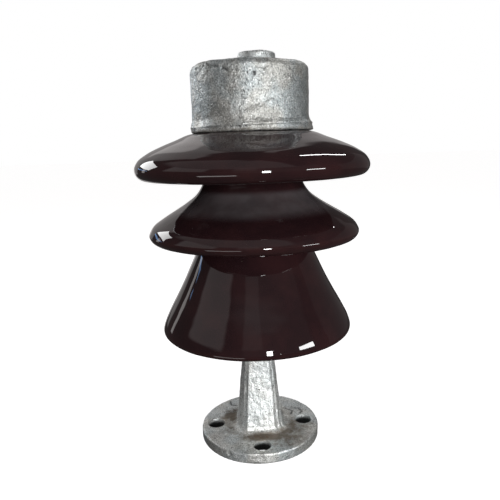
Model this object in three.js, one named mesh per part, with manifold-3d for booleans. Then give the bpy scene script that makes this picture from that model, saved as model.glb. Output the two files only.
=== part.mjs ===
// Cap-and-pin post insulator: a galvanised cap and pedestal joined by three cemented porcelain shells.
// Millimetres, +Z up. The origin is the centre of the base flange's underside.
// Every round piece is a lathe outline that runs anticlockwise: outwards below, up, and inwards above.

import * as THREE from 'three';
import { mergeVertices } from 'three/addons/utils/BufferGeometryUtils.js';
import Module from 'manifold-3d';

// ---- Driving dimensions ----
const OVERALL_HEIGHT = 304.8;
const BOLT_CIRCLE = 76.2;
const BOLT_HOLE = 14.3;
const GAP = 0.3; // clearance kept between pieces that touch
const ROUND_SEGMENTS = 40;
const HOLE_SEGMENTS = 24;
const CURVE_STEPS = 5;
const WELD = 1e-4;
const CUT_CLEAR = 1; // cutters run this far past a face
const OVERLAP = 1; // joined solids are sunk this far into each other

const FLANGE = { radius: 50.5, thickness: 9.5, edge: 1.5 };
const STEM = { base: 19.4, end: 10.0, top: 104, chamfer: 0.38, root: 2.6 };
const PIN = { shank: 10, head: 13.5, neck: 134, cone: 9, top: 184, chamfer: 1.5 };
const GROOVE = { count: 3, first: 14, pitch: 11, depth: 1.6, width: 6, slope: 2 };

const BOSS = { offset: 5.5, height: 8.5, radius: 13.6, base: 15.4, flare: 3, edge: 1.6 };
const SOCKET = { radius: 7, depth: 14, point: 2 };
const CAP = { radius: 42.9, lip: 43.6, lipHeight: 6.5, lipSlope: 1.2, bottom: 251.4, edge: 6, draft: 0.4 };
CAP.top = OVERALL_HEIGHT - BOSS.height;

// Plugs are the tapered round heads and the recesses that they are cemented into.
const PIN_RECESS = { mouthRadius: 20, endRadius: 19, mouth: 143, end: 189, chamfer: 4 };
const BELL_HEAD = { mouthRadius: 38, endRadius: 36, mouth: 178.6, end: 194.5, chamfer: 4 };
const MIDDLE_RECESS = { mouthRadius: 42, endRadius: 40, mouth: 182, end: 198, chamfer: 5 };
const MIDDLE_HEAD = { mouthRadius: 38.7, endRadius: 37, mouth: 213.7, end: 238.5, chamfer: 3 };
const TOP_RECESS = { mouthRadius: 43.5, endRadius: 41.5, mouth: 224.5, end: 242, chamfer: 4 };
const TOP_HEAD = { mouthRadius: 31.5, endRadius: 30.5, mouth: 250.9, end: 279, chamfer: 3 };
const CAP_RECESS = { mouthRadius: 36, endRadius: 37, mouth: CAP.bottom, end: 283.6, chamfer: 2 };

// Sheds: radius and tip are the widest point, and lip by drop the quarter round below it. The underside
// leaves a flat land round the mouth towards hollow and inner, and the upper face goes by swell and crest.
const TOP_SHED = {
  radius: 87.4, tip: 226.6, lip: 7, drop: 7.1,
  land: 49, hollow: [62, 230], inner: 71,
  swell: 10.4, crest: [64, 243.8], end: [44.2, TOP_HEAD.mouth],
};
const MIDDLE_SHED = {
  radius: 80.9, tip: 179.2, lip: 6, drop: 6.1,
  land: 47, hollow: [58, 188], inner: 66,
  swell: 8.8, crest: [42.1, 201], end: [MIDDLE_HEAD.mouthRadius, MIDDLE_HEAD.mouth],
};
// The bell's inside goes from its land by the ceiling's curve and the skirt's to the rim.
const BELL = {
  radius: 75.9, tip: 101.7, lip: 5, drop: 3.3,
  land: 24, ceiling: [[36, 143], [41, 137], [47, 130]], skirt: [[56, 118], [64, 108]], rim: [65.9, 99.4],
  swell: 6.3, crest: [63.7, 126.9], waist: [58.4, 137.4], neck: [46.6, 161.5],
};

const CUSHION = { thickness: 4, clearance: 1 };
const CEMENT_RECESS = 1.5; // the mortar stops this far inside each mouth

const ZINC = { color: 0x9aa3a5, roughness: 0.5, metalness: 0.85 };
const GLAZE = { color: 0x2a1214, roughness: 0.08, metalness: 0 };
const MORTAR = { color: 0xa7a39a, roughness: 0.95, metalness: 0 };
const CORK = { color: 0x8a6744, roughness: 0.9, metalness: 0 };

// ---- Solids ----
const wasm = await Module();
wasm.setup();

/** Turns a closed geometry into a manifold solid, leaving out the collapsed triangles on the axis. */
function solidOf(geometry) {
  geometry.deleteAttribute('normal');
  geometry.deleteAttribute('uv');
  const welded = mergeVertices(geometry, WELD);
  const index = welded.index.array;
  const triangles = [];
  for (let i = 0; i < index.length; i += 3) {
    const [a, b, c] = [index[i], index[i + 1], index[i + 2]];
    if (a !== b && b !== c && c !== a) triangles.push(a, b, c);
  }
  const vertProperties = new Float32Array(welded.attributes.position.array);
  const triVerts = new Uint32Array(triangles);
  return new wasm.Manifold(new wasm.Mesh({ numProp: 3, vertProperties, triVerts }));
}

/** Gives a manifold solid back as a geometry with flat facets. */
function geometryOf(solid) {
  const mesh = solid.getMesh();
  const geometry = new THREE.BufferGeometry();
  geometry.setAttribute('position', new THREE.BufferAttribute(mesh.vertProperties, 3));
  geometry.setIndex(new THREE.BufferAttribute(mesh.triVerts, 1));
  geometry.computeVertexNormals();
  return geometry;
}

/** A solid of revolution about +Z from outline points of (radius, height). */
function turned(points, segments = ROUND_SEGMENTS) {
  const geometry = new THREE.LatheGeometry(points, segments);
  geometry.rotateX(Math.PI / 2);
  return solidOf(geometry);
}

/** Outline points of a plug from its mouth up to the axis, grown by an offset. */
function plugPoints(plug, offset = 0) {
  const side = plug.endRadius + offset;
  return [
    new THREE.Vector2(plug.mouthRadius + offset, plug.mouth),
    new THREE.Vector2(side, plug.end - plug.chamfer),
    new THREE.Vector2(side - plug.chamfer, plug.end + offset),
    new THREE.Vector2(0, plug.end + offset),
  ];
}

/** The same plug from the axis down to its mouth, as the inside of a hollow piece. */
function recessPoints(plug, offset = 0) {
  return plugPoints(plug, offset).reverse();
}

function plugRadiusAt(plug, height) {
  const along = (height - plug.mouth) / (plug.end - plug.chamfer - plug.mouth);
  return THREE.MathUtils.lerp(plug.mouthRadius, plug.endRadius, along);
}

/** A lathe outline of plain corners. */
function corners(pairs) {
  return pairs.map(([radius, height]) => new THREE.Vector2(radius, height));
}

/** The quarter ellipse under a shed's widest point, from its lowest point out to the tip. */
function lipOf(path, shed) {
  const centre = shed.radius - shed.lip;
  path.absellipse(centre, shed.tip, shed.lip, shed.drop, -Math.PI / 2, 0, false, 0);
}

// ---- Porcelain ----
/** The outside of a shed, from its recess's mouth, under and round the lip, to the foot of its head. */
function shedOutline(shed, recess, steps) {
  const low = shed.tip - shed.drop;
  const path = new THREE.Path();
  path.moveTo(recess.mouthRadius, recess.mouth);
  path.lineTo(shed.land, recess.mouth);
  path.bezierCurveTo(...shed.hollow, shed.inner, low, shed.radius - shed.lip, low);
  lipOf(path, shed);
  path.bezierCurveTo(shed.radius, shed.tip + shed.swell, ...shed.crest, ...shed.end);
  return path.getPoints(steps).slice(1);
}

function topShell() {
  const outside = shedOutline(TOP_SHED, TOP_RECESS, CURVE_STEPS);
  return turned([...recessPoints(TOP_RECESS), ...outside, ...plugPoints(TOP_HEAD)]);
}

function middleShell() {
  const outside = shedOutline(MIDDLE_SHED, MIDDLE_RECESS, CURVE_STEPS + 1);
  return turned([...recessPoints(MIDDLE_RECESS), ...outside, ...plugPoints(MIDDLE_HEAD).slice(1)]);
}

function bottomShell() {
  const path = new THREE.Path();
  path.moveTo(PIN_RECESS.mouthRadius, PIN_RECESS.mouth);
  path.lineTo(BELL.land, PIN_RECESS.mouth);
  path.bezierCurveTo(...BELL.ceiling.flat());
  path.bezierCurveTo(...BELL.skirt.flat(), ...BELL.rim);
  path.lineTo(BELL.radius - BELL.lip, BELL.tip - BELL.drop);
  lipOf(path, BELL);
  path.bezierCurveTo(BELL.radius, BELL.tip + BELL.swell, ...BELL.crest, ...BELL.waist);
  path.lineTo(...BELL.neck);
  const outside = path.getPoints(CURVE_STEPS).slice(1);
  return turned([...recessPoints(PIN_RECESS), ...outside, ...plugPoints(BELL_HEAD)]);
}

// ---- Mortar and cushions ----
/** Mortar that fills the space between a head and the closed recess over it. */
function mortarCup(head, recess) {
  const mouth = recess.mouth + CEMENT_RECESS;
  const inner = recessPoints({ ...head, mouth, mouthRadius: plugRadiusAt(head, mouth) }, GAP);
  const outer = plugPoints({ ...recess, mouth, mouthRadius: plugRadiusAt(recess, mouth) }, -GAP);
  return turned([...inner, ...outer]);
}

/** Mortar sleeve round a head of constant radius, open at both ends. */
function mortarSleeve(innerRadius, recess, bottom) {
  const top = recess.end - GAP;
  const side = recess.endRadius - GAP;
  return turned(corners([
    [innerRadius, bottom],
    [plugRadiusAt(recess, bottom) - GAP, bottom],
    [side, recess.end - recess.chamfer],
    [side - recess.chamfer, top],
    [innerRadius, top],
    [innerRadius, bottom],
  ]));
}

function capCement() {
  return mortarSleeve(TOP_HEAD.mouthRadius + GAP, CAP_RECESS, CAP.bottom + CEMENT_RECESS);
}

function pinCement() {
  return mortarSleeve(PIN.head + GAP, PIN_RECESS, PIN_RECESS.mouth + CEMENT_RECESS);
}

/** A cork disc that lets the metal and the porcelain expand at their own rates. */
function cushion(radius, bottom) {
  const top = bottom + CUSHION.thickness;
  return turned(corners([[0, bottom], [radius, bottom], [radius, top], [0, top]]));
}

// ---- Metalware ----
function capBody() {
  const shoulder = CAP.radius - CAP.draft;
  const path = new THREE.Path();
  path.moveTo(CAP_RECESS.mouthRadius, CAP.bottom);
  path.lineTo(CAP.lip, CAP.bottom);
  path.lineTo(CAP.lip, CAP.bottom + CAP.lipHeight);
  path.lineTo(CAP.radius, CAP.bottom + CAP.lipHeight + CAP.lipSlope);
  path.lineTo(shoulder, CAP.top - CAP.edge);
  path.absarc(shoulder - CAP.edge, CAP.top - CAP.edge, CAP.edge, 0, Math.PI / 2, false);
  path.lineTo(0, CAP.top);
  return turned([...recessPoints(CAP_RECESS), ...path.getPoints(3).slice(1)]);
}

function boss() {
  const root = CAP.top - BOSS.edge;
  const path = new THREE.Path();
  path.moveTo(0, root);
  path.lineTo(BOSS.base, root);
  path.lineTo(BOSS.base, CAP.top);
  path.quadraticCurveTo(BOSS.radius, CAP.top, BOSS.radius, CAP.top + BOSS.flare);
  path.lineTo(BOSS.radius, OVERALL_HEIGHT - BOSS.edge);
  path.quadraticCurveTo(BOSS.radius, OVERALL_HEIGHT, BOSS.radius - BOSS.edge, OVERALL_HEIGHT);
  path.lineTo(0, OVERALL_HEIGHT);
  return turned(path.getPoints(3));
}

/** The blind socket's cutter, with a drill point and a mouth above the boss. */
function bossSocket() {
  const floor = OVERALL_HEIGHT - SOCKET.depth;
  const above = OVERALL_HEIGHT + CUT_CLEAR;
  const outline = [[0, floor - SOCKET.point], [SOCKET.radius, floor], [SOCKET.radius, above], [0, above]];
  return turned(corners(outline), HOLE_SEGMENTS);
}

function cap() {
  const place = [BOSS.offset, 0, 0];
  return capBody().add(boss().translate(place)).subtract(bossSocket().translate(place));
}

function flange() {
  const { radius, thickness, edge } = FLANGE;
  const path = new THREE.Path();
  path.moveTo(0, 0);
  path.lineTo(radius, 0);
  path.lineTo(radius, thickness - edge);
  path.absarc(radius - edge, thickness - edge, edge, 0, Math.PI / 2, false);
  path.lineTo(0, thickness);
  return turned(path.getPoints(2));
}

/** A square bar with chamfered corners, half-width low at the bottom and high at the top. */
function taperedBar(low, high, bottom, top) {
  const cut = 1 - STEM.chamfer;
  const outline = [[1, cut], [cut, 1], [-cut, 1], [-1, cut], [-1, -cut], [-cut, -1], [cut, -1], [1, -cut]];
  const shape = new THREE.Shape(corners(outline));
  const geometry = new THREE.ExtrudeGeometry(shape, { depth: top - bottom, bevelEnabled: false });
  const position = geometry.attributes.position;
  for (let i = 0; i < position.count; i += 1) {
    const size = THREE.MathUtils.lerp(low, high, position.getZ(i) / (top - bottom));
    position.setXYZ(i, position.getX(i) * size, position.getY(i) * size, position.getZ(i) + bottom);
  }
  return solidOf(geometry);
}

function stem() {
  const sunk = FLANGE.thickness - OVERLAP;
  const root = taperedBar(STEM.base + STEM.root, STEM.base, sunk, FLANGE.thickness + STEM.root);
  return taperedBar(STEM.base, STEM.end, sunk, STEM.top).add(root);
}

/** The round upper pin, with ring grooves that key it into the mortar. */
function pin() {
  const sunk = STEM.top - 6 * OVERLAP;
  const outline = [[0, sunk], [PIN.shank, sunk], [PIN.shank, PIN.neck], [PIN.head, PIN.neck + PIN.cone]];
  for (let i = 0; i < GROOVE.count; i += 1) {
    const low = PIN.neck + GROOVE.first + i * GROOVE.pitch;
    const high = low + GROOVE.width;
    const floor = PIN.head - GROOVE.depth;
    outline.push([PIN.head, low], [floor, low + GROOVE.slope]);
    outline.push([floor, high - GROOVE.slope], [PIN.head, high]);
  }
  outline.push([PIN.head, PIN.top - PIN.chamfer], [PIN.head - PIN.chamfer, PIN.top], [0, PIN.top]);
  return turned(corners(outline));
}

/** Cutters for the four bolt holes, on the X and Y axes. */
function boltHoles() {
  const radius = BOLT_HOLE / 2;
  const above = FLANGE.thickness + CUT_CLEAR;
  const outline = corners([[0, -CUT_CLEAR], [radius, -CUT_CLEAR], [radius, above], [0, above]]);
  const holes = [];
  for (let i = 0; i < 4; i += 1) {
    const angle = (i * Math.PI) / 2;
    const place = [Math.cos(angle) * BOLT_CIRCLE / 2, Math.sin(angle) * BOLT_CIRCLE / 2, 0];
    holes.push(turned(outline, HOLE_SEGMENTS).translate(place));
  }
  return holes;
}

function pedestal() {
  const casting = flange().add(stem()).add(pin());
  return boltHoles().reduce((body, hole) => body.subtract(hole), casting);
}

// ---- Assembly ----
const insulator = new THREE.Group();

function place(name, solid, finish) {
  const mesh = new THREE.Mesh(geometryOf(solid), new THREE.MeshStandardMaterial(finish));
  mesh.name = name;
  insulator.add(mesh);
}

place('pedestal', pedestal(), ZINC);
place('pin_cement', pinCement(), MORTAR);
place('pin_cushion', cushion(PIN.head - CUSHION.clearance, PIN.top + GAP), CORK);
place('bottom_shell', bottomShell(), GLAZE);
place('lower_joint_cement', mortarCup(BELL_HEAD, MIDDLE_RECESS), MORTAR);
place('middle_shell', middleShell(), GLAZE);
place('upper_joint_cement', mortarCup(MIDDLE_HEAD, TOP_RECESS), MORTAR);
place('top_shell', topShell(), GLAZE);
place('cap_cement', capCement(), MORTAR);
place('head_cushion', cushion(TOP_HEAD.endRadius - CUSHION.clearance, TOP_HEAD.end + GAP), CORK);
place('cap', cap(), ZINC);

export default insulator;
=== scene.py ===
"""Looks of a cap-and-pin post insulator: glazed porcelain shells, mortar, cork and galvanised castings.

Shapes are worked out in millimetres about the +Z axis, and turned into metres when a mesh is made.
An outline is a half section: rows of (radius, height), outwards below, up, and inwards above.
An azimuth is in degrees round +Z: 0 is the front (-Y) and 90 is +X.
"""

import math

import bpy
import numpy as np
from mathutils import Matrix, Vector, noise


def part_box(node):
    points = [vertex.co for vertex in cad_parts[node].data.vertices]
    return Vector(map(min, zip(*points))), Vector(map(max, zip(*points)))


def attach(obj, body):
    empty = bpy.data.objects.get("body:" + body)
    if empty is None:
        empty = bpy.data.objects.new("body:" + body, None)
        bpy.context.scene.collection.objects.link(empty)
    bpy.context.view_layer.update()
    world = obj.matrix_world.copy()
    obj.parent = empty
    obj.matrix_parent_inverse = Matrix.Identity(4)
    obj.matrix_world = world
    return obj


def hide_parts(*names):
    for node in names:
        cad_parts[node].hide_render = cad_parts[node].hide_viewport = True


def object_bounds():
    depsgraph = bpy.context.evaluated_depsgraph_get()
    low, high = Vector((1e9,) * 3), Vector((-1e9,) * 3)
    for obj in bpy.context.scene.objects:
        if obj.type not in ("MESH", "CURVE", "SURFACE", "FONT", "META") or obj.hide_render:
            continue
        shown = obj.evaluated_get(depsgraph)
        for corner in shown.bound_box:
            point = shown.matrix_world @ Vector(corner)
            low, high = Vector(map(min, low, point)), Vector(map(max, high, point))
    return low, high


MM = 0.001
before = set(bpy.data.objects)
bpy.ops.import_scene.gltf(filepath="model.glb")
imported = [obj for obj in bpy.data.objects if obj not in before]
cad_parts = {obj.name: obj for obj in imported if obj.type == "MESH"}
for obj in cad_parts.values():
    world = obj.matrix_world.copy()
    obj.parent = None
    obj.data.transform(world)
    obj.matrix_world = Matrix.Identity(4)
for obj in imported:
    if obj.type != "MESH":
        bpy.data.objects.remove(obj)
cad_low, cad_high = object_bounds()

# ---- Driving dimensions, in millimetres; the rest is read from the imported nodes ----
ROUND_SEGMENTS = 256
OUTLINE_STEP = 0.2
ROW_STEP = 1.3
ROW_TURN = math.radians(7)
VOXEL = 0.7

# The gap between touching pieces, how far up in a shell's mouth the mortar starts, the bare ring round it,
# and how round a shell's corners are.
GAP = 0.3
CEMENT_RECESS = 1.5
LAND = 5.2
SHELL_ROUNDING = 1.1

# How the fillings' names end, how round their corners are, and how far their skin is let in.
MORTAR = {"suffix": "_mortar", "corner": 0.4, "roughness": 0.12}
CORK = {"suffix": "_cork", "corner": 0.5, "roughness": 0.06}

BOSS = {"offset": 5.5, "height": 8.5, "radius": 13.6, "base": 15.4, "edge": 1.6, "socket": 7.0, "depth": 14}
CAP = {"wall": 42.9, "lip_height": 6.5, "edge": 4.6, "draft": 0.4, "hollow_taper": 1, "hollow_chamfer": 2}
THREAD = {"pitch": 2.0, "depth": 0.9, "half_width": 0.8, "sides": 48}
FLANGE = {"thickness": 9.5, "edge": 1.3, "hole": 7.15, "hole_circle": 38.1, "dressed": 15.8}
STEM = {"base": 19.4, "end": 10.0, "top": 104, "chamfer": 0.38, "root": 4.5, "seam": 0.7}
PIN = {"shank": 10, "head": 13.5, "groove": 1.6, "grooves": 3, "pitch": 11, "neck": 134, "top": 184}

# Flaws of the castings, as rows of radius, azimuth and height over the cap's rim or the flange's deck.
CAP_DRIP = ((43.4, -61, 1), (43.4, -45, 1))
CAP_FOLD = ((42.7, -7, 14.6), (42.7, 5, 16.6), (42.7, 17, 20.6), (42.7, 45, 21.6))
CAP_TEAR = ((41.5, -61, 40.6), (41.5, -45, 42), (42, -34, 40.6), (42.4, -26, 39), (42.5, -20, 37))
CAP_PITS = ((42.7, -14, 36.4), (42.7, -3, 35.8), (42.7, 8, 36), (42.7, 17, 37.6))
CAP_FLARE = {"azimuth": 89, "spread": 34, "height": 12, "swell": 2.4}
DECK_SEAM = ((50, -32, 0), (39, -30, 0), (30, -27, 0), (25, -35, 0))
DECK_CRACKS = (
    ((36, 124, 0), (41, 118, 0), (41, 109, 0), (38, 106, 0)),
    ((31, 129, 0), (34, 117, 0), (30, 109, 0)),
    ((46, -145, 0), (40, -141, 0), (36, -145, 0)),
)
DECK_LUMP = (40.5, -98, 0)
EDGE_NICK = ((50.5, -32, 0), (50.5, -32, -4))

# Stains on the flange's deck: radius, azimuth, size and strength.
DECK_STAINS = (
    (38, 40, 17, 0.42),
    (37, 80, 13, 0.30),
    (28, -113, 11, 0.45),
    (41, -7, 14, 0.20),
    (34, -65, 12, 0.18),
)

# The camera's place and tilt, in metres and degrees, and its lens in millimetres.
CAMERA = {"azimuth": -2, "distance": 0.3971, "height": 0.2432, "pitch": 17.13, "roll": -1.8}
LENS = 36.6
SHIFT = (-0.0125, 0.1)

FLOOR_HALF = 9000
WHITE = (1, 1, 1)

# Softboxes: name, azimuth, elevation, width and height in metres, radiance and colour.
LAMPS = (
    ("front_lamp", 11, 6, (0.15, 0.34), 40, WHITE),
    ("right_lamp", 56, 9, (0.40, 0.12), 18, WHITE),
    ("ceiling_tube", 136, 49, (0.035, 0.56), 24, WHITE),
    ("left_window", -127, 25, (0.54, 0.32), 4.5, WHITE),
    ("left_window_foot", -127, 12, (0.50, 0.05), 1.6, (0.30, 0.55, 1.0)),
)
LAMP_DISTANCE = 1.2
SNOOT = {"azimuth": 22, "elevation": 9, "power": 13, "cone": 8.6, "size": 0.03, "distance": 0.9}

# The room's own light, and its panels: azimuth, elevation, width, height, strength and edge softness.
ROOM_LEVEL = 0.05
ROOM_TINT = (1, 0.955, 0.945, 1)
PANELS = (
    (-71, 27, 50, 24, 0.40, 6),
    (-40, 62, 170, 46, 0.22, 10),
    (25, 20, 90, 44, 0.05, 6),
    (-9, 31, 24, 22, 0.10, 3),
    (-167, 24, 50, 62, 0.30, 3),
    (119, 8, 62, 34, 0.05, 1.5),
    (-175, 26, 30, 20, 0.35, 3),
    (165, 30, 7, 60, 0.35, 2),
    (-175, -13, 36, 26, 0.45, 4),
    (-37, -27, 40, 8, 3.00, 2),
    (-126, 6, 6, 16, 1.00, 1),
)


# ---- Outlines ----
def box_mm(node):
    """The low and high corners of a CAD node's box."""
    low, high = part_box(node)
    return np.array(low) / MM, np.array(high) / MM


def outline_of(node):
    """The corners of a turned CAD node's half section, in order, as rows of (radius, height)."""
    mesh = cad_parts[node].data
    spots = []
    for vertex in mesh.vertices:
        x, y, z = vertex.co / MM
        spots.append((round(x, 2), round(z, 2)) if abs(y) < 0.001 and x > -0.001 else None)
    near = {}
    for edge in mesh.edges:
        a, b = (spots[i] for i in edge.vertices)
        if a and b and a != b:
            near.setdefault(a, set()).add(b)
            near.setdefault(b, set()).add(a)
    ends = [spot for spot, others in near.items() if len(others) == 1]
    walk = [min(ends or near)]
    while True:
        onward = [spot for spot in sorted(near[walk[-1]]) if spot not in walk]
        if not onward:
            break
        walk.append(onward[0])
    if not ends:
        walk.append(walk[0])
    points = np.array(walk, float)
    r, z = points.T
    area = np.sum(r * np.roll(z, -1) - np.roll(r, -1) * z)
    return points if area > 0 else points[::-1]


def splined(points, bend=math.radians(34)):
    """Points close together on curves through an outline's gentle bends, with its sharp corners kept."""
    chords = np.diff(points, axis=0)
    lengths = np.hypot(*chords.T)
    units = chords / lengths[:, None]
    turns = np.arccos(np.clip((units[:-1] * units[1:]).sum(1), -1, 1))
    into, out_of = units.copy(), units.copy()
    for i, turn in enumerate(turns):
        if turn < bend:
            mean = units[i] * lengths[i + 1] + units[i + 1] * lengths[i]
            mean /= np.hypot(*mean)
            into[i] = mean
            out_of[i + 1] = mean
    dense = []
    for start, stop, leave, arrive, length in zip(points[:-1], points[1:], out_of, into, lengths):
        count = max(2, int(length / OUTLINE_STEP))
        t = np.linspace(0, 1, count, endpoint=False)[:, None]
        dense.append(
            (2 * t**3 - 3 * t**2 + 1) * start
            + (t**3 - 2 * t**2 + t) * length * leave
            + (3 * t**2 - 2 * t**3) * stop
            + (t**3 - t**2) * length * arrive
        )
    return np.vstack([*dense, points[-1:]])


def spaced(points, step):
    """The same line with its points step apart."""
    along = np.concatenate([[0], np.cumsum(np.hypot(*np.diff(points, axis=0).T))])
    places = np.linspace(0, along[-1], max(3, round(along[-1] / step)))
    return np.column_stack([np.interp(places, along, points[:, i]) for i in (0, 1)])


def softened(points, radius, closed):
    """An outline with its corners rounded to about the given radius."""
    dense = spaced(points, OUTLINE_STEP)
    reach = max(2, int(2.5 * radius / OUTLINE_STEP))
    if closed:
        padded = np.vstack([dense[-1 - reach:-1], dense, dense[1:1 + reach]])
    else:
        mirror = np.array([-1, 1])
        padded = np.vstack([dense[reach:0:-1] * mirror, dense, dense[-2:-2 - reach:-1] * mirror])
    window = np.exp(-0.5 * (np.arange(-reach, reach + 1) * OUTLINE_STEP / (0.8 * radius)) ** 2)
    window /= window.sum()
    return np.column_stack([np.convolve(padded[:, i], window, "valid") for i in (0, 1)])


def rows_along(points):
    """An outline's points thinned to mesh rows, closer together where it bends."""
    chords = np.diff(points, axis=0)
    lengths = np.hypot(*chords.T)
    heading = np.unwrap(np.arctan2(chords[:, 1], chords[:, 0]))
    turning = np.abs(np.diff(heading, append=heading[-1]))
    cost = np.concatenate([[0], np.cumsum(lengths / ROW_STEP + turning / ROW_TURN)])
    places = np.linspace(0, cost[-1], math.ceil(cost[-1]) + 1)
    return np.column_stack([np.interp(places, cost, points[:, i]) for i in (0, 1)])


# ---- Meshes ----
def make_object(name, vertices, faces):
    """A smooth-shaded object from places in millimetres."""
    mesh = bpy.data.meshes.new(name)
    mesh.from_pydata((np.asarray(vertices) * MM).tolist(), [], faces)
    mesh.polygons.foreach_set("use_smooth", [True] * len(mesh.polygons))
    piece = bpy.data.objects.new(name, mesh)
    bpy.context.scene.collection.objects.link(piece)
    return piece


def turned(name, outline, closed=False, centre=(0, 0), segments=ROUND_SEGMENTS):
    """A solid of revolution about +Z through centre."""
    rings = outline[:-1] if closed else outline[1:-1]
    angles = np.linspace(0, 2 * math.pi, segments, endpoint=False)
    radius, height = (column[:, None] for column in rings.T)
    x = centre[0] + radius * np.cos(angles)
    y = centre[1] + radius * np.sin(angles)
    vertices = np.stack([x, y, height + 0 * x], axis=-1).reshape(-1, 3).tolist()
    count = len(rings)
    faces = []
    for i in range(count if closed else count - 1):
        low, high = i * segments, (i + 1) % count * segments
        for j in range(segments):
            k = (j + 1) % segments
            faces.append((low + j, low + k, high + k, high + j))
    if not closed:
        first, last = len(vertices), len(vertices) + 1
        vertices.append([*centre, outline[0][1]])
        vertices.append([*centre, outline[-1][1]])
        top = (count - 1) * segments
        for j in range(segments):
            k = (j + 1) % segments
            faces.append((first, k, j))
            faces.append((last, top + j, top + k))
    return make_object(name, vertices, faces)


def cylinder(radius, low, high, centre=(0, 0), segments=96):
    """An upright cutter from low to high."""
    outline = np.array([(0, low), (radius, low), (radius, high), (0, high)], float)
    return turned("cutter", outline, centre=centre, segments=segments)


def with_modifier(piece, kind, **settings):
    """Applies one modifier to a piece."""
    modifier = piece.modifiers.new(kind, kind)
    for name, value in settings.items():
        setattr(modifier, name, value)
    graph = bpy.context.evaluated_depsgraph_get()
    mesh = bpy.data.meshes.new_from_object(piece.evaluated_get(graph))
    piece.modifiers.clear()
    piece.data = mesh
    return piece


def cut(piece, cutter):
    """Takes the cutter's volume out of a piece, and removes the cutter."""
    with_modifier(piece, "BOOLEAN", operation="DIFFERENCE", solver="EXACT", object=cutter)
    bpy.data.objects.remove(cutter)
    return piece


def joined(name, parts):
    """One object that holds several closed solids, which may overlap."""
    vertices, faces = [], []
    for part in parts:
        start = len(vertices)
        vertices += [vertex.co / MM for vertex in part.data.vertices]
        faces += [[start + i for i in face.vertices] for face in part.data.polygons]
        bpy.data.objects.remove(part)
    return make_object(name, vertices, faces)


def cast(name, parts, passes=3):
    """Melts overlapping solids into one skin with soft inside corners, as a casting has."""
    piece = joined(name, parts)
    with_modifier(piece, "REMESH", mode="VOXEL", voxel_size=VOXEL * MM, use_smooth_shade=True)
    return with_modifier(piece, "SMOOTH", factor=0.5, iterations=passes)


def points_of(piece):
    """The places of a piece's vertices, in rows."""
    flat = np.empty(len(piece.data.vertices) * 3, np.float32)
    piece.data.vertices.foreach_get("co", flat)
    return flat.reshape(-1, 3).astype(float) / MM


def put_points(piece, points):
    """Moves a piece's vertices to the given places."""
    piece.data.vertices.foreach_set("co", (points * MM).astype(np.float32).ravel())
    piece.data.update()


def push(piece, points, distance):
    """Puts each vertex at its point, and from there along its normal by its own distance."""
    normals = np.empty(len(points) * 3, np.float32)
    piece.data.vertex_normals.foreach_get("vector", normals)
    put_points(piece, points + normals.reshape(-1, 3) * distance[:, None])


def mark(piece, name, values):
    """Stores a number from 0 to 1 at each vertex, for the material to read."""
    layer = piece.data.attributes.new(name, "FLOAT", "POINT")
    layer.data.foreach_set("value", np.clip(values, 0, 1).astype(np.float32))


# ---- Fields over a surface ----
def bumps(points, size, seed, stretch=1.0):
    """Smooth noise from about -1 to 1, in blobs of about the given size, drawn out along Z by stretch."""
    shift = Vector((seed * 7.31, seed * 3.77, seed * 5.19))
    scaled = points / (size, size, size * stretch)
    return np.array([noise.noise(Vector(point) + shift) for point in scaled.tolist()]) * 1.6


def smooth(values, low, high):
    """0 at low and 1 at high, with an even slope at both ends."""
    t = np.clip((values - low) / (high - low), 0, 1)
    return t * t * (3 - 2 * t)


def place(radius, azimuth, height):
    """A point in space."""
    angle = math.radians(azimuth)
    return (radius * math.sin(angle), -radius * math.cos(angle), height)


def path_of(rows, base):
    """Points in space from rows of radius, azimuth and height over base."""
    return [place(radius, azimuth, base + height) for radius, azimuth, height in rows]


def moved_up(path, rise):
    return [np.array(point) + (0, 0, rise) for point in path]


def azimuths(points):
    """Each point's azimuth, from -180 to 180."""
    return np.degrees(np.arctan2(points[:, 0], -points[:, 1]))


def near_path(points, path, width):
    """1 on a polyline, falling to 0 over about the given width."""
    best = np.full(len(points), np.inf)
    for start, stop in zip(np.array(path[:-1], float), np.array(path[1:], float)):
        along = stop - start
        t = np.clip((points - start) @ along / (along @ along), 0, 1)
        best = np.minimum(best, np.linalg.norm(points - start - t[:, None] * along, axis=1))
    return np.exp(-((best / width) ** 2))


def near_spot(points, spot, width):
    """1 at a point, falling to 0 over about the given width."""
    return np.exp(-((np.linalg.norm(points - np.array(spot), axis=1) / width) ** 2))


# ---- Shader nodes ----
class Nodes:
    """A node tree. Each call adds one node and gives back its output, ready to feed the next."""

    def __init__(self, tree):
        self.tree = tree
        self.tree.nodes.clear()

    def add(self, kind, inputs, output=0, **settings):
        node = self.tree.nodes.new(kind)
        for name, value in settings.items():
            setattr(node, name, value)
        for key, value in inputs.items():
            if isinstance(value, bpy.types.NodeSocket):
                self.tree.links.new(value, node.inputs[key])
            elif value is not None:
                node.inputs[key].default_value = value
        return node.outputs[output] if node.outputs else None

    def math(self, operation, a, b=None):
        return self.add("ShaderNodeMath", {0: a, 1: b}, operation=operation)

    def ramp(self, value, low, high, bottom=0.0, top=1.0):
        """value from low to high becomes bottom to top, smoothly."""
        inputs = {"Value": value, "From Min": low, "From Max": high, "To Min": bottom, "To Max": top}
        return self.add("ShaderNodeMapRange", inputs, interpolation_type="SMOOTHSTEP")

    def sum(self, a, b):
        return self.math("ADD", a, b)

    def times(self, a, b):
        return self.math("MULTIPLY", a, b)


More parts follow.
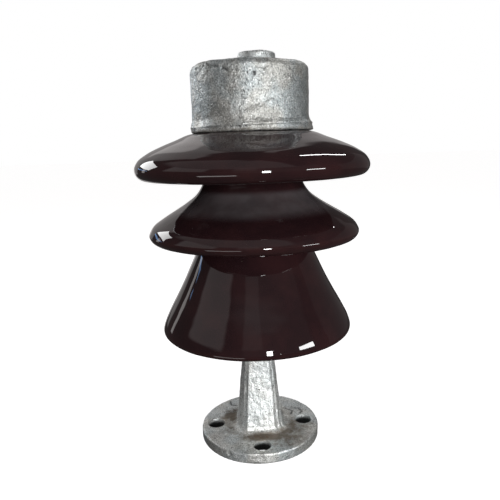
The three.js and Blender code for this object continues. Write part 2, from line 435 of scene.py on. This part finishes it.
class Shader(Nodes):
    """The nodes of one material."""

    def __init__(self, name):
        self.material = bpy.data.materials.new(name)
        self.material.use_nodes = True
        super().__init__(self.material.node_tree)
        self.place = None

    def millimetres(self):
        """The place on the object, in millimetres."""
        if self.place is None:
            spot = self.add("ShaderNodeTexCoord", {}, "Object")
            self.place = self.add("ShaderNodeVectorMath", {0: spot, 1: (1 / MM,) * 3}, operation="MULTIPLY")
        return self.place

    def noise(self, size, detail=3.0, roughness=0.55, seed=0.0):
        """Clouds with features of about the given size in millimetres."""
        shift = self.add("ShaderNodeVectorMath", {0: self.millimetres(), 1: (seed, seed, seed)})
        inputs = {
            "Vector": shift,
            "Scale": 1 / size,
            "Detail": detail,
            "Roughness": roughness,
        }
        return self.add("ShaderNodeTexNoise", inputs)

    def cells(self, size, output="Distance", feature="F1"):
        """Random cells of about the given size in millimetres."""
        inputs = {"Vector": self.millimetres(), "Scale": 1 / size}
        return self.add("ShaderNodeTexVoronoi", inputs, output, feature=feature)

    def mark(self, name):
        """The number that the mark function stored on the piece."""
        return self.add("ShaderNodeAttribute", {}, "Fac", attribute_name=name)

    def mix(self, share, a, b):
        """Blends two colours, each a socket or (red, green, blue)."""
        sides = [value if isinstance(value, bpy.types.NodeSocket) else (*value, 1) for value in (a, b)]
        inputs = {0: share, 6: sides[0], 7: sides[1]}
        return self.add("ShaderNodeMix", inputs, 2, data_type="RGBA")

    def blend(self, share, a, b):
        """Blends two numbers."""
        return self.add("ShaderNodeMix", {0: share, 2: a, 3: b}, 0, data_type="FLOAT")

    def bump(self, height, depth, normal=None):
        """Relief of the given depth in millimetres, over any relief that normal already has."""
        inputs = {"Height": height, "Distance": depth * MM, "Normal": normal}
        return self.add("ShaderNodeBump", inputs)

    def finish(self, **inputs):
        """Ends the tree in a Principled surface and gives back the material."""
        named = {key.replace("_", " "): value for key, value in inputs.items()}
        surface = self.add("ShaderNodeBsdfPrincipled", named)
        self.add("ShaderNodeOutputMaterial", {"Surface": surface})
        return self.material


# ---- Materials ----
def glaze():
    """Glossy maroon glaze, browner where it thins over an edge, with gritty bare porcelain in the joints and
    a light grey dust film on the middle shell's neck that is partly a painted reflection of the top shell's
    underside.
    """
    s = Shader("maroon_glaze")
    clouds = s.ramp(s.noise(24), 0.35, 0.7)
    colour = s.mix(clouds, (0.0255, 0.0110, 0.0128), (0.0385, 0.0150, 0.0165))
    thin = s.times(s.mark("edge"), s.ramp(s.noise(14, seed=40), 0.2, 0.8, 0.1, 0.6))
    colour = s.mix(thin, colour, (0.050, 0.018, 0.017))
    speck = s.times(s.ramp(s.cells(9), 0.05, 0.035), s.ramp(s.noise(14, seed=9), 0.5, 0.6))
    colour = s.mix(s.times(speck, 0.6), colour, (0.22, 0.15, 0.12))
    # Dust, and partly a painted reflection of the shell above: a light grey film, a little rougher.
    dust_film_and_reflection = s.times(s.mark("dust_and_reflection"), s.ramp(s.noise(16, 3, 0.5, seed=60), 0.3, 0.7, 0.6, 1.0))
    colour = s.mix(s.times(dust_film_and_reflection, 0.16), colour, (0.52, 0.51, 0.53))
    bare = s.ramp(s.sum(s.mark("bare"), s.ramp(s.noise(1.5, seed=5), 0, 1, -0.2, 0.2)), 0.4, 0.6)
    grit = s.noise(0.8, 2, seed=3)
    bisque = s.mix(grit, (0.42, 0.40, 0.36), (0.70, 0.68, 0.62))
    colour = s.mix(bare, colour, bisque)
    gloss = s.ramp(s.noise(11, seed=21), 0.3, 0.75, 0.02, 0.05)
    gloss = s.sum(gloss, s.times(dust_film_and_reflection, 0.12))
    roughness = s.blend(bare, gloss, 0.9)
    ripple = s.bump(s.noise(6, 1, seed=2), 0.009)
    pitted = s.bump(speck, -0.12, ripple)
    normal = s.bump(s.times(bare, grit), 0.5, pitted)
    coat = s.blend(bare, 0.25, 0.0)
    return s.finish(
        Base_Color=colour, Roughness=roughness, Normal=normal, Coat_Weight=coat, Coat_Roughness=0.02,
    )


def zinc():
    """Hot-dip zinc on a rough casting: mottled, pitted, grimed and rusty where it is worn, darker with grime
    and painted shade at the stem's foot, nearly black with painted shade in the bolt holes, and lighter with
    painted light on the stem and the cap's top.
    """
    s = Shader("hot_dip_zinc")
    clouds = s.ramp(s.noise(13, 4, 0.6), 0.34, 0.68)
    tint = s.ramp(s.noise(24, 2, seed=90), 0.4, 0.6)
    cool = s.mix(clouds, (0.46, 0.51, 0.52), (0.70, 0.76, 0.77))
    warm = s.mix(clouds, (0.52, 0.52, 0.49), (0.77, 0.77, 0.73))
    colour = s.mix(tint, cool, warm)
    # Painted light: the zinc is made lighter, towards near white, where a piece marks painted light (the
    # stem, the pedestal and the cap's top).
    colour = s.mix(s.times(s.mark("painted_light"), 0.6), colour, (0.93, 0.96, 0.95))
    grain = s.noise(1.0, 2, 0.6, seed=11)
    colour = s.mix(s.ramp(grain, 0.52, 0.66, 0, 0.85), colour, (0.98, 0.99, 0.98))
    colour = s.mix(s.ramp(grain, 0.46, 0.32, 0, 0.85), colour, (0.22, 0.23, 0.225))
    pits = s.times(s.ramp(s.noise(2.3, 2, seed=52), 0.35, 0.27), s.ramp(s.noise(17, seed=53), 0.42, 0.6))
    colour = s.mix(pits, colour, (0.06, 0.06, 0.058))
    patchy = s.ramp(s.sum(s.noise(5, 4, 0.65, seed=71), s.mark("grime")), 0.58, 1.15)
    colour = s.mix(patchy, colour, s.mix(clouds, (0.17, 0.145, 0.115), (0.30, 0.265, 0.22)))
    rusty = s.ramp(s.sum(s.noise(3, 4, 0.7, seed=81), s.mark("rust")), 0.7, 1.3)
    colour = s.mix(rusty, colour, (0.17, 0.10, 0.05))
    # Cracks, pits and nicks, and painted shade in the bolt holes: all nearly black and dull.
    dark = s.mark("cracks_and_bore_shade")
    colour = s.mix(s.times(dark, 0.95), colour, (0.016, 0.016, 0.015))
    dull = s.math("MAXIMUM", patchy, s.math("MAXIMUM", rusty, dark))
    metallic = s.blend(dull, 0.88, 0.25)
    roughness = s.blend(dull, s.ramp(s.noise(3.2, 3, seed=61), 0.3, 0.7, 0.35, 0.56), 0.8)
    shallow = s.bump(s.noise(4.5, 3, 0.6, seed=6), 0.3)
    rough = s.bump(grain, 0.45, shallow)
    normal = s.bump(s.noise(0.55, 2, 0.6, seed=31), 0.12, rough)
    return s.finish(Base_Color=colour, Metallic=metallic, Roughness=roughness, Normal=normal)


def mortar():
    """Portland cement mortar with sand in it."""
    s = Shader("sandy_mortar")
    sand = s.cells(0.9, "Color")
    tone = s.ramp(s.noise(7, 4, seed=1), 0.35, 0.7)
    colour = s.mix(tone, (0.27, 0.25, 0.22), (0.44, 0.42, 0.38))
    colour = s.mix(0.18, colour, sand)
    damp = s.ramp(s.noise(15, 2, seed=8), 0.55, 0.7, 0, 0.35)
    colour = s.mix(damp, colour, (0.20, 0.15, 0.10))
    holes = s.ramp(s.cells(2.6), 0.22, 0.12)
    grains = s.bump(s.cells(0.9), 0.35)
    normal = s.bump(holes, -0.6, grains)
    return s.finish(Base_Color=colour, Roughness=0.95, Normal=normal)


def cork():
    """Pressed cork granules."""
    s = Shader("pressed_cork")
    granules = s.cells(2.4, "Color")
    tone = s.add("ShaderNodeSeparateColor", {"Color": granules}, "Red")
    colour = s.mix(tone, (0.30, 0.17, 0.085), (0.50, 0.31, 0.17))
    seam = s.ramp(s.cells(2.4, "Distance", "DISTANCE_TO_EDGE"), 0.07, 0.02)
    colour = s.mix(seam, colour, (0.12, 0.06, 0.03))
    normal = s.bump(s.times(seam, s.noise(1.0, 2)), -0.5)
    return s.finish(Base_Color=colour, Roughness=0.9, Normal=normal)


def dress(piece, node, material):
    """Gives a piece its finish and puts it on the frame in its CAD node's place."""
    piece.data.materials.clear()
    piece.data.materials.append(material)
    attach(piece, "root")
    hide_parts(node)


# ---- Porcelain ----
def convexity(rows):
    """How sharply an outline turns outwards at each row, in radians a millimetre."""
    chords = np.diff(rows, axis=0)
    lengths = np.hypot(*chords.T)
    heading = np.unwrap(np.arctan2(chords[:, 1], chords[:, 0]))
    turn = np.diff(heading) / (0.5 * (lengths[:-1] + lengths[1:]))
    return np.concatenate([[0], turn, [0]])


def in_joint(points, filler, lead):
    """1 where the porcelain touches the mortar node called filler, from lead below it upwards."""
    low, high = box_mm(filler)
    radius = np.hypot(points[:, 0], points[:, 1])
    beside = smooth(radius, high[0] + 1.2, high[0] + 0.6)
    return beside * smooth(points[:, 2], low[2] - lead, low[2] - lead + 0.8)


def land_of(points, filler):
    """1 on the flat unglazed ring round a recess's mouth, where the shell stood in the kiln."""
    low, high = box_mm(filler)
    radius = np.hypot(points[:, 0], points[:, 1])
    reach = high[0] + LAND
    return smooth(radius, reach + 1.2, reach - 0.4) * (np.abs(points[:, 2] - low[2] + CEMENT_RECESS) < 2.2)


def shell(node, recess_filler, head_filler, seed, dust_and_reflection_share=0.0):
    """A glazed shell, between the mortar in its recess and the mortar round its head."""
    rows = rows_along(softened(splined(outline_of(node)), SHELL_ROUNDING, closed=False))
    piece = turned(node + "_porcelain", rows)
    points = points_of(piece)
    edge = np.append(np.repeat(smooth(convexity(rows)[1:-1], 0.06, 0.22), ROUND_SEGMENTS), (0, 0))
    top = box_mm(recess_filler)[1][2] + 2
    recess = in_joint(points, recess_filler, 1.4) * (points[:, 2] < top)
    bare = np.maximum(recess, in_joint(points, head_filler, -0.2))
    bare = np.maximum(bare, land_of(points, recess_filler))
    mark(piece, "edge", edge)
    mark(piece, "bare", bare)
    # A band of dust on the neck under the shell above, partly a painted reflection of that shell's underside.
    drop = box_mm(head_filler)[0][2] - points[:, 2]
    mark(piece, "dust_and_reflection", dust_and_reflection_share * smooth(drop, 14, 18) * smooth(drop, 33, 27))
    push(piece, points, 0.11 * bumps(points, 26, seed) + 0.03 * bumps(points, 8, seed + 1))
    return piece


# ---- Mortar and cork ----
def filling(node, seed, suffix, corner, roughness):
    """A turned filling, its skin let in by up to twice roughness."""
    corners = outline_of(node)
    closed = bool(np.allclose(corners[0], corners[-1]))
    rows = rows_along(softened(splined(corners), corner, closed))
    piece = turned(node + suffix, rows, closed)
    points = points_of(piece)
    push(piece, points, -roughness * (1 + np.clip(bumps(points, 2.2, seed), -1, 1)))
    return piece


# ---- Castings ----
def quarter(centre, radius, steps=6):
    """A quarter round from due right of its centre to due above it."""
    angles = [math.pi / 2 * i / steps for i in range(steps + 1)]
    return [(centre[0] + radius * math.cos(a), centre[1] + radius * math.sin(a)) for a in angles]


def boss_thread(centre, top):
    """The female thread's ridge: a thin closed coil on the socket's wall."""
    turns = (BOSS["depth"] - 2) / THREAD["pitch"]
    count = int(turns * THREAD["sides"])
    wall = BOSS["socket"] + 0.3
    section = [(wall, -THREAD["half_width"]), (wall, THREAD["half_width"]), (wall - THREAD["depth"] - 0.3, 0)]
    vertices, faces = [], []
    for i in range(count + 1):
        angle = 2 * math.pi * i / THREAD["sides"]
        height = top - 1.6 - THREAD["pitch"] * i / THREAD["sides"]
        for radius, rise in section:
            x, y = radius * math.cos(angle), radius * math.sin(angle)
            vertices.append((centre[0] + x, centre[1] + y, height + rise))
    for i in range(count):
        for k in range(3):
            a, b = 3 * i + k, 3 * i + (k + 1) % 3
            faces.append((a, b, b + 3, a + 3))
    faces.append((2, 1, 0))
    faces.append((3 * count, 3 * count + 1, 3 * count + 2))
    return make_object("boss_socket_thread", vertices, faces)


def cap_solids():
    """The cap's body and its boss, both bored for the socket, with the boss's middle and the top's height."""
    low, high = box_mm("cap")
    top = high[2] - BOSS["height"]
    bottom, lip = low[2], high[0]
    hollow = box_mm("cap_cement")[1][0] + GAP
    ceiling = box_mm("head_cushion")[1][2] + GAP
    chamfer, edge = CAP["hollow_chamfer"], CAP["edge"]
    shoulder = CAP["wall"] - CAP["draft"]
    step = bottom + CAP["lip_height"]
    inside = [(0, ceiling), (hollow - chamfer, ceiling), (hollow, ceiling - chamfer)]
    inside += [(hollow - CAP["hollow_taper"], bottom)]
    outside = [(lip, bottom), (lip, step), (CAP["wall"], step + 1.2)]
    outside += quarter((shoulder - edge, top - edge), edge) + [(0, top)]
    body = turned("cap_body", softened(np.array(inside + outside), 0.8, closed=False))
    centre = (BOSS["offset"], 0)
    radius, base, round_ = BOSS["radius"], BOSS["base"], BOSS["edge"]
    foot = [(0, top - 2), (base, top - 2), (base, top), (radius + 0.6, top + 0.8), (radius, top + 3)]
    head = quarter((radius - round_, high[2] - round_), round_) + [(0, high[2])]
    boss = turned("boss", softened(np.array(foot + head), 0.4, closed=False), centre=centre)
    floor = high[2] - BOSS["depth"]
    for part in (body, boss):
        cut(part, cylinder(BOSS["socket"], floor, high[2] + 2, centre))
    return body, boss, centre, high[2]


def cap_relief(points, low, outside, skin):
    """How far the cast skin stands out: swells, the ridge over the rim, and the fold across the front."""
    swells = 0.24 * bumps(points, 17, 3) + 0.15 * bumps(points, 5.5, 4) + 0.10 * bumps(points, 2.2, 5)
    level = low + 4.4 + 0.9 * np.sin(np.radians(azimuths(points) + 2))
    ridge = 0.6 * outside * np.exp(-(((points[:, 2] - level) / 0.75) ** 2))
    fold = path_of(CAP_FOLD, low)
    groove = 0.32 * near_path(points, fold, 1.6)
    belly = 0.5 * near_path(points, moved_up(fold[:3], -4.2), 3.4)
    return swells * skin + ridge - groove + belly


def cap():
    """The cap casting and the thread in its boss."""
    body, boss, centre, top = cap_solids()
    piece = cast("cap_casting", [body, boss])
    points = points_of(piece)
    low = box_mm("cap")[0][2]
    around, height = azimuths(points), points[:, 2]
    radius = np.hypot(points[:, 0], points[:, 1])
    outside = smooth(radius, 38.5, 41) * smooth(height, low - 1, low + 0.5)
    skin = smooth(np.hypot(points[:, 0] - centre[0], points[:, 1]) - BOSS["socket"], 0.5, 3)

    swell = CAP_FLARE["swell"] * np.exp(-(((around - CAP_FLARE["azimuth"]) / CAP_FLARE["spread"]) ** 2))
    swell *= smooth(height, low + CAP_FLARE["height"], low)
    swell += 0.9 * near_path(points, path_of(CAP_DRIP, low), 2.2)
    points[:, :2] *= (1 + swell * outside / np.maximum(radius, 1))[:, None]

    tear = path_of(CAP_TEAR, low)
    torn = near_path(points, tear, 0.95) * smooth(bumps(points, 1.8, 12), -0.6, 0.3)
    pitted = near_path(points, path_of(CAP_PITS, low), 1.7) * smooth(bumps(points, 2.0, 14), 0.15, 0.6)
    relief = cap_relief(points, low, outside, skin) - torn - 0.6 * pitted
    relief += 0.8 * near_path(points, moved_up(tear[:3], 2.6), 2.4)
    push(piece, points, relief)

    mark(piece, "cracks_and_bore_shade", 0.95 * torn + 0.8 * pitted)
    mark(piece, "grime", 0.30 * outside * smooth(height, low + 3.5, low + 1))
    # Painted light: the cap's top and boss are made lighter, standing in for the highlight that falls there.
    mark(piece, "painted_light", smooth(height, top - 6, top - 3))
    return piece, boss_thread(centre, top)


def flange():
    """The base plate, bored for four bolts."""
    radius = box_mm("pedestal")[1][0]
    edge, top = FLANGE["edge"], FLANGE["thickness"]
    outline = [(0, 0), (radius - 0.6, 0), (radius, 0.6)]
    outline += quarter((radius - edge, top - edge - 0.2), edge) + [(24, top), (0, top)]
    plate = turned("flange", np.array(outline))
    for i in range(4):
        angle = math.pi / 2 * i
        centre = (FLANGE["hole_circle"] * math.cos(angle), FLANGE["hole_circle"] * math.sin(angle))
        cut(plate, cylinder(FLANGE["hole"], -1, top + 1, centre))
    return plate


def stem_ring(half, per_side=12):
    """One level of the stem: a square with chamfered corners, and a casting seam down each chamfer."""
    cut_back = 1 - STEM["chamfer"]
    ring = []
    for quarter_turn in range(4):
        angle = math.pi / 2 * quarter_turn
        x_way = np.array([math.cos(angle), math.sin(angle)])
        y_way = np.array([-math.sin(angle), math.cos(angle)])
        corners = [x_way - cut_back * y_way, x_way + cut_back * y_way, cut_back * x_way + y_way]
        for side, (start, stop) in enumerate(zip(corners[:-1], corners[1:])):
            for t in np.linspace(0, 1, per_side, endpoint=False):
                seam = STEM["seam"] * math.exp(-(((t - 0.5) / 0.12) ** 2)) if side else 0
                ring.append((start + t * (stop - start)) * half + seam * (x_way + y_way) / math.sqrt(2))
    return ring


def stem():
    """The tapered bar with a concave foot, cut away in front where the bolt's seat was dressed flat."""
    sunk, root = FLANGE["thickness"] - 1, STEM["root"]
    heights = np.linspace(sunk, STEM["top"], 72)
    rings = []
    for height in heights:
        share = (height - sunk) / (STEM["top"] - sunk)
        left = min(max((height - FLANGE["thickness"]) / root, 0), 1)
        foot = root * (1 - math.sqrt(1 - (1 - left) ** 2))
        rings.append(stem_ring(STEM["base"] + share * (STEM["end"] - STEM["base"]) + foot))
    count = len(rings[0])
    vertices = [(x, y, height) for ring, height in zip(rings, heights) for x, y in ring]
    faces = []
    for i in range(len(rings) - 1):
        for j in range(count):
            k = (j + 1) % count
            faces.append((i * count + j, i * count + k, (i + 1) * count + k, (i + 1) * count + j))
    faces.append(tuple(range(count))[::-1])
    faces.append(tuple((len(rings) - 1) * count + j for j in range(count)))
    bar = make_object("stem", vertices, faces)
    seat = cylinder(FLANGE["dressed"], FLANGE["thickness"] - 0.1, 40, (0, -FLANGE["hole_circle"]))
    return cut(bar, seat)


def pin():
    """The round upper pin, ringed with grooves that key it into the mortar."""
    head, shank, neck = PIN["head"], PIN["shank"], PIN["neck"]
    low = STEM["top"] - 6
    outline = [(0, low), (shank, low), (shank, neck), (head, neck + 9)]
    for i in range(PIN["grooves"]):
        groove = neck + 14 + i * PIN["pitch"]
        inner = head - PIN["groove"]
        outline += [(head, groove), (inner, groove + 2), (inner, groove + 4), (head, groove + 6)]
    outline += [(head, PIN["top"] - 1.5), (head - 1.5, PIN["top"]), (0, PIN["top"])]
    return turned("pin", softened(np.array(outline, float), 0.4, closed=False))


def bore_distance(points):
    """How far each point is from the axis of the nearest bolt hole."""
    centres = [place(FLANGE["hole_circle"], azimuth, 0) for azimuth in (0, 90, 180, 270)]
    return np.minimum.reduce([np.hypot(points[:, 0] - c[0], points[:, 1] - c[1]) for c in centres])


def pedestal_relief(points, deck, on_stem):
    """How far the cast skin stands out: swells, flow lines up the stem, lumps at its foot, and the seam."""
    x, y, height = points.T
    radius = np.hypot(x, y)
    relief = 0.22 * bumps(points, 15, 20) + 0.12 * bumps(points, 4.5, 21) + 0.09 * bumps(points, 2.0, 22)
    relief += 0.22 * on_stem * bumps(points, 2.6, 23, stretch=3.5)
    foot = smooth(height, deck + 9, deck) * smooth(radius, 15, 21) * smooth(radius, 36, 27)
    relief += 0.5 * foot * bumps(points, 3.2, 24) * (np.abs(x) > np.abs(y))
    seam = near_path(points, path_of(DECK_SEAM, deck), 1.5)
    relief += 0.55 * seam * smooth(bumps(points, 2.5, 25), -0.9, 0.2)
    return relief + 0.7 * near_spot(points, *path_of([DECK_LUMP], deck), 3)


def pedestal_stains(piece, points, deck):
    """Grime and rust on the deck, and in a puddle in front of the stem; a darker ring round the stem's foot,
    grime and rust with painted shade in the corner.
    """
    x, y, height = points.T
    radius = np.hypot(x, y)
    on_deck = smooth(height, deck + 3.5, deck + 0.5) * smooth(height, deck - 1.5, deck - 0.6)
    grime = sum(
        much * near_spot(points, place(away, azimuth, deck), size)
        for away, azimuth, size, much in DECK_STAINS
    )
    # Painted shade, with grime and rust: the corner round the stem's foot is darkened.
    foot = smooth(height, deck + 4.5, deck + 1) * smooth(radius, 36, 30) * smooth(radius, 17, 20)
    puddle = np.exp(-((x / 13) ** 2) - (((y + 26) / 4.5) ** 2))
    puddle *= smooth(height, deck + 1.8, deck + 0.6) * smooth(height, deck - 3, deck - 1)
    mark(piece, "grime", 1.1 * on_deck * grime + 0.2 * foot + 0.65 * puddle)
    mark(piece, "rust", 0.34 * puddle + 0.12 * foot)


def pedestal():
    """The flange, stem and pin in one casting, flat underneath."""
    piece = cast("pedestal_casting", [flange(), stem(), pin()], passes=2)
    points = points_of(piece)
    height = points[:, 2]
    deck = FLANGE["thickness"]
    bores = bore_distance(points)
    skin = smooth(bores, FLANGE["hole"] + 0.3, FLANGE["hole"] + 2.5) * smooth(height, 0.2, 2)
    on_stem = smooth(height, deck + 2, deck + 8)
    cracked = sum(near_path(points, path_of(rows, deck), 0.8) for rows in DECK_CRACKS)
    nick = near_path(points, path_of(EDGE_NICK, deck), 1.6)
    relief = pedestal_relief(points, deck, on_stem) - 0.5 * cracked - 0.9 * nick
    push(piece, points, relief * skin)
    moved = points_of(piece)
    moved[:, 2] = np.where(height < 0.25, 0, np.maximum(moved[:, 2], 0))
    put_points(piece, moved)

    # Painted shade: the bolt holes' walls are darkened nearly to black, standing in for the shade inside
    # them.
    inside = smooth(bores, FLANGE["hole"] + 0.6, FLANGE["hole"] + 0.1)
    inside *= smooth(height, deck - 0.8, deck - 4.5)
    pedestal_stains(piece, points, deck)
    # Painted light: the whole pedestal is made a little lighter and the stem much lighter, standing in for
    # the light that falls on them.
    mark(piece, "painted_light", on_stem + 0.35)
    mark(piece, "cracks_and_bore_shade", 0.9 * cracked + 0.5 * nick + inside)
    return piece


# ---- Staging ----
def direction(azimuth, elevation):
    """A unit vector out towards an azimuth and elevation in degrees."""
    a, e = math.radians(azimuth), math.radians(elevation)
    return Vector((math.sin(a) * math.cos(e), -math.cos(a) * math.cos(e), math.sin(e)))


def hang(name, light, middle, way, distance):
    """Puts a light at a distance from middle, shining back at it and out of the camera's sight."""
    lamp = bpy.data.objects.new(name, light)
    lamp.location = middle + way * distance
    lamp.rotation_euler = way.to_track_quat("Z", "Y").to_euler()
    lamp.visible_camera = False
    bpy.context.scene.collection.objects.link(lamp)


def softbox(name, azimuth, elevation, size, radiance, tint):
    """A rectangular light aimed at the middle of the object."""
    light = bpy.data.lights.new(name, "AREA")
    light.shape = "RECTANGLE"
    light.size, light.size_y = size
    light.energy = radiance * math.pi * size[0] * size[1]
    light.color = tint
    hang(name, light, (cad_low + cad_high) / 2, direction(azimuth, elevation), LAMP_DISTANCE)


def snoot(name):
    """A narrow round light on the pedestal alone."""
    light = bpy.data.lights.new(name, "SPOT")
    light.energy = SNOOT["power"]
    light.spot_size = math.radians(SNOOT["cone"])
    light.spot_blend = 1.0
    light.shadow_soft_size = SNOOT["size"]
    foot = Vector((0, 0, 1.5 * FLANGE["thickness"] * MM))
    hang(name, light, foot, direction(SNOOT["azimuth"], SNOOT["elevation"]), SNOOT["distance"])


def lights():
    for lamp in LAMPS:
        softbox(*lamp)
    snoot("pedestal_lamp")


def room():
    """A dim room of soft panels for the object to mirror, white where the camera sees it."""
    world = bpy.data.worlds.new("room")
    bpy.context.scene.world = world
    world.use_nodes = True
    s = Nodes(world.node_tree)
    way = s.add("ShaderNodeTexCoord", {}, "Generated")
    height = s.add("ShaderNodeSeparateXYZ", {"Vector": way}, "Z")
    rise = s.math("ARCSINE", height)

    def panel(azimuth, elevation, width, tall, strength, soft):
        """A rectangle of light. Its middle, its size and the softness of its edges are in degrees."""
        angle = math.radians(-azimuth)
        facing = s.add("ShaderNodeVectorRotate", {"Vector": way, "Angle": angle}, rotation_type="Z_AXIS")
        x, y = (s.add("ShaderNodeSeparateXYZ", {"Vector": facing}, axis) for axis in "XY")
        across = s.math("ABSOLUTE", s.math("ARCTAN2", x, s.times(y, -1)))
        along = s.math("ABSOLUTE", s.math("SUBTRACT", rise, math.radians(elevation)))
        inside = strength
        for away, size in ((across, width), (along, tall)):
            low, high = (math.radians(size / 2 + edge) for edge in (soft / 2, -soft / 2))
            inside = s.times(inside, s.ramp(away, low, high))
        return inside

    level = ROOM_LEVEL
    for spot in PANELS:
        level = s.sum(level, panel(*spot))
    seen = s.add("ShaderNodeBackground", {"Color": (1, 1, 1, 1), "Strength": 1.0})
    felt = s.add("ShaderNodeBackground", {"Color": ROOM_TINT, "Strength": level})
    camera_ray = s.add("ShaderNodeLightPath", {}, "Is Camera Ray")
    both = s.add("ShaderNodeMixShader", {0: camera_ray, 1: felt, 2: seen})
    s.add("ShaderNodeOutputWorld", {"Surface": both})


def floor():
    """A pale sheet of paper under the object. The room's panels stand in for its light on the object."""
    s = Shader("pale_paper")
    material = s.finish(
        Base_Color=(0.8, 0.8, 0.8, 1), Roughness=1.0, Specular_IOR_Level=0.0,
        Emission_Color=(1, 1, 1, 1), Emission_Strength=0.85,
    )
    half = FLOOR_HALF
    corners = [(-half, -half, 0), (half, -half, 0), (half, half, 0), (-half, half, 0)]
    sheet = make_object("floor", corners, [(0, 1, 2, 3)])
    sheet.location.z = cad_low.z - 0.02 * MM
    sheet.data.materials.append(material)
    sheet.visible_glossy = False
    sheet.visible_diffuse = False


def camera():
    """The camera in front of the object, a little above its middle and looking down."""
    lens = bpy.data.cameras.new("camera")
    lens.lens = LENS
    lens.shift_x, lens.shift_y = SHIFT
    eye = bpy.data.objects.new("camera", lens)
    turn = math.radians(CAMERA["azimuth"])
    spot = (math.sin(turn) * CAMERA["distance"], -math.cos(turn) * CAMERA["distance"], CAMERA["height"])
    aim = Matrix.Rotation(turn, 4, "Z") @ Matrix.Rotation(math.radians(90 - CAMERA["pitch"]), 4, "X")
    eye.matrix_world = Matrix.Translation(spot) @ aim @ Matrix.Rotation(math.radians(CAMERA["roll"]), 4, "Z")
    bpy.context.scene.collection.objects.link(eye)
    bpy.context.scene.camera = eye


# ---- The object ----
def build():
    """Makes every piece and puts it in its CAD node's place."""
    finishes = {
        "brown_glaze": glaze(),
        "galvanised_iron": zinc(),
        "portland_cement": mortar(),
        "cork": cork(),
    }
    casting, thread = cap()
    pieces = (
        (pedestal(), "pedestal", "galvanised_iron"),
        (filling("pin_cement", 31, **MORTAR), "pin_cement", "portland_cement"),
        (filling("pin_cushion", 32, **CORK), "pin_cushion", "cork"),
        (shell("bottom_shell", "pin_cement", "lower_joint_cement", 41), "bottom_shell", "brown_glaze"),
        (filling("lower_joint_cement", 33, **MORTAR), "lower_joint_cement", "portland_cement"),
        (
            shell("middle_shell", "lower_joint_cement", "upper_joint_cement", 43, dust_and_reflection_share=1.0),
            "middle_shell",
            "brown_glaze",
        ),
        (filling("upper_joint_cement", 34, **MORTAR), "upper_joint_cement", "portland_cement"),
        (shell("top_shell", "upper_joint_cement", "cap_cement", 45), "top_shell", "brown_glaze"),
        (filling("cap_cement", 35, **MORTAR), "cap_cement", "portland_cement"),
        (filling("head_cushion", 36, **CORK), "head_cushion", "cork"),
        (casting, "cap", "galvanised_iron"),
        (thread, "cap", "galvanised_iron"),
    )
    for piece, node, slot in pieces:
        dress(piece, node, finishes[slot])


build()
lights()
room()
floor()
camera()
bpy.context.scene.view_settings.view_transform = "Standard"
